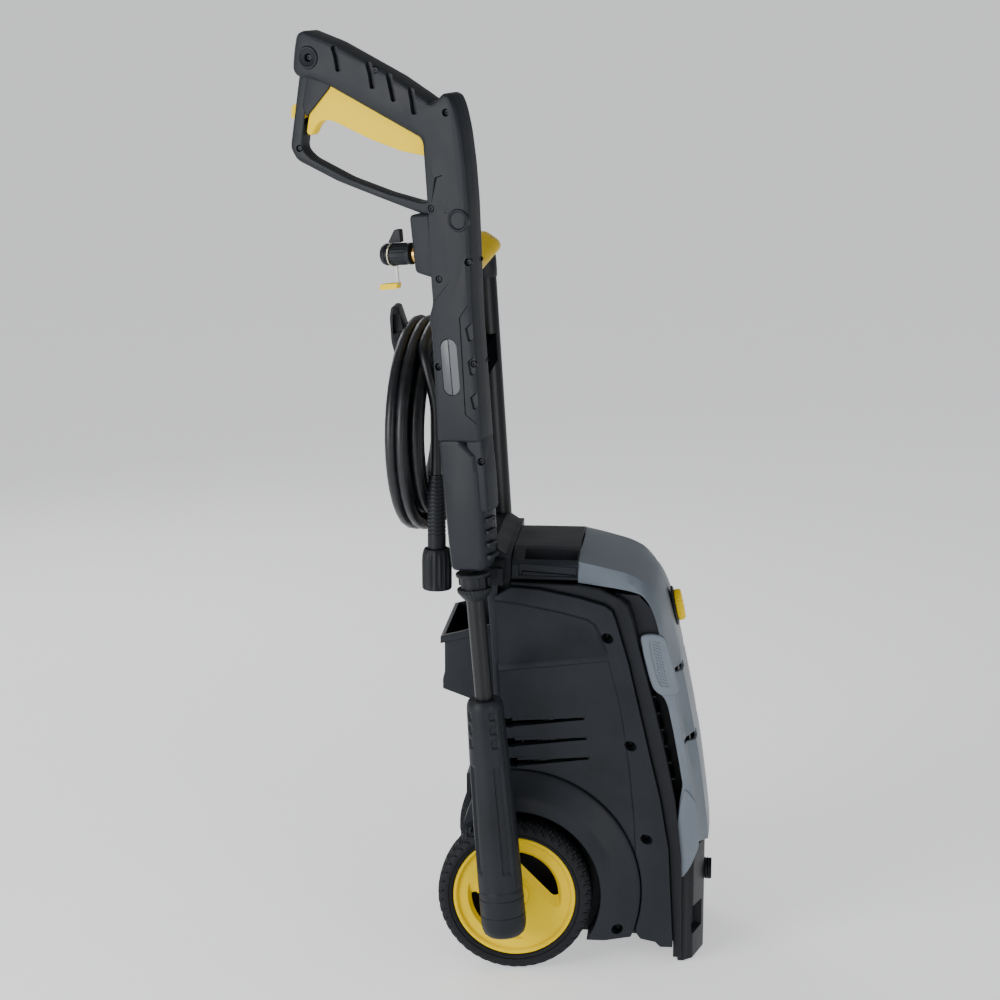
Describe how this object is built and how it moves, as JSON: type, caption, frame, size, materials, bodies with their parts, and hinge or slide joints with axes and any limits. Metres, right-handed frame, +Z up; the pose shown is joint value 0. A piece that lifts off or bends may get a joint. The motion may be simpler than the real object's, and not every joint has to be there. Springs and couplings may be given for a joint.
{
  "type": "pressure washer",
  "caption": "Upright electric pressure washer on wheels with a telescopic handle, rear hose hook, accessory bin, rotary switch and a trigger gun held in a side fork.",
  "frame": {"origin": "floor point under the middle of the machine, hose left out", "axes": "+X front with the switch and the inlet, +Y the left side, +Z up"},
  "size_m": [0.4122, 0.3042, 0.9263],
  "materials": {
    "black_plastic": "fine grained moulded plastic, charcoal",
    "grey_plastic": "satin moulded plastic, mid grey",
    "yellow_plastic": "smooth moulded plastic, warm yellow",
    "tyre": "hard moulded tread, matt",
    "rubber": "smooth hose cover, slightly glossy",
    "black_tube": "black powder coat",
    "steel": "turned",
    "brass": "turned",
    "cast_alloy": "cast"
  },
  "bodies": {
    "washer": {"front_frame": "black_plastic", "top_cap": "black_plastic", "right_side_shell": "black_plastic", "left_side_shell": "black_plastic", "right_wheel_arch": "black_plastic", "left_wheel_arch": "black_plastic", "rear_panel": "black_plastic", "base_tray": "black_plastic", "handle_mount": "black_plastic", "front_cover": "grey_plastic", "front_bumper": "black_plastic", "switch_bezel": "black_plastic", "switch_box": "black_plastic", "water_inlet": "black_plastic", "pressure_outlet": "brass", "mains_gland": "rubber", "accessory_bin": "black_plastic", "axle": "steel", "right_outer_tube": "black_tube", "left_outer_tube": "black_tube", "hook_bracket": "black_plastic", "hose_hook": "black_plastic", "hose_coil": "rubber", "hose_drop_right": "rubber", "hose_drop_left": "rubber", "hose_boot": "black_plastic", "hose_nut": "black_plastic", "hose_plug": "brass", "lance_holder": "black_plastic", "motor_can": "cast_alloy", "pump": "cast_alloy", "capacitor": "cast_alloy"},
    "right_wheel": {"right_tyre": "tyre", "right_wheel_disc": "yellow_plastic"},
    "left_wheel": {"left_tyre": "tyre", "left_wheel_disc": "yellow_plastic"},
    "handle": {"right_inner_tube": "black_tube", "left_inner_tube": "black_tube", "hand_grip": "yellow_plastic"},
    "knob": {"switch_knob": "yellow_plastic"},
    "rotor": {"motor_rotor": "steel", "swash_plate": "steel"},
    "gun": {"right_gun_shell": "black_plastic", "left_gun_shell": "black_plastic", "trigger_pin": "steel", "gun_valve": "brass", "gun_pipe": "steel", "gun_window": "grey_plastic", "inlet_stub": "brass", "inlet_coupler": "black_plastic", "coupler_tag": "yellow_plastic", "forearm_sleeve": "black_plastic", "bayonet_collar": "black_plastic", "lance_tube": "black_tube", "nozzle_body": "black_plastic"},
    "trigger": {"trigger": "yellow_plastic"},
    "trigger_lock": {"trigger_lock": "yellow_plastic"},
    "nozzle": {"nozzle_ring": "black_plastic"},
    "coupler_lever": {"coupler_lever": "black_plastic"}
  },
  "joints": [
    {"name": "right_wheel_spin", "type": "hinge", "parent": "washer", "child": "right_wheel", "pos_m": [0.00957, -0.07189, 0.0775], "axis": [0, 1, 0], "continuous": true},
    {"name": "left_wheel_spin", "type": "hinge", "parent": "washer", "child": "left_wheel", "pos_m": [0.00957, 0.13211, 0.0775], "axis": [0, 1, 0], "continuous": true},
    {"name": "handle_slide", "type": "slide", "parent": "washer", "child": "handle", "axis": [-0.0645, 0, 0.9979], "range_m": [0, 0.2]},
    {"name": "switch_turn", "type": "hinge", "parent": "washer", "child": "knob", "pos_m": [0.16217, 0.03011, 0.351], "axis": [0.9781, 0, 0.2081], "range_deg": [0, 90]},
    {"name": "rotor_spin", "type": "hinge", "parent": "washer", "child": "rotor", "pos_m": [0.05957, 0.03011, 0.26], "axis": [0, 0, 1], "continuous": true},
    {"name": "gun_release", "type": "slide", "parent": "washer", "child": "gun", "axis": [-0.3419, -0.9393, -0.0286], "range_m": [0, 0.12]},
    {"name": "trigger_squeeze", "type": "hinge", "parent": "gun", "child": "trigger", "pos_m": [-0.06275, -0.11789, 0.83316], "axis": [0.3419, 0.9393, 0.0286], "range_deg": [0, 6], "stiffness_Nm_per_rad": 1, "springref_deg": -5.73},
    {"name": "lock_turn", "type": "hinge", "parent": "gun", "child": "trigger_lock", "pos_m": [-0.19358, -0.07089, 0.85332], "axis": [-0.3419, -0.9393, -0.0286], "range_deg": [0, 20]},
    {"name": "nozzle_twist", "type": "hinge", "parent": "gun", "child": "nozzle", "pos_m": [0.00037, -0.11789, 0.0788], "axis": [-0.0834, 0, 0.9965], "range_deg": [-45, 45]},
    {"name": "coupler_lever_lift", "type": "hinge", "parent": "gun", "child": "coupler_lever", "pos_m": [-0.09632, -0.10263, 0.73301], "axis": [0.3419, 0.9393, 0.0286], "range_deg": [0, 20], "stiffness_Nm_per_rad": 0.05, "springref_deg": -5.73}
  ]
}
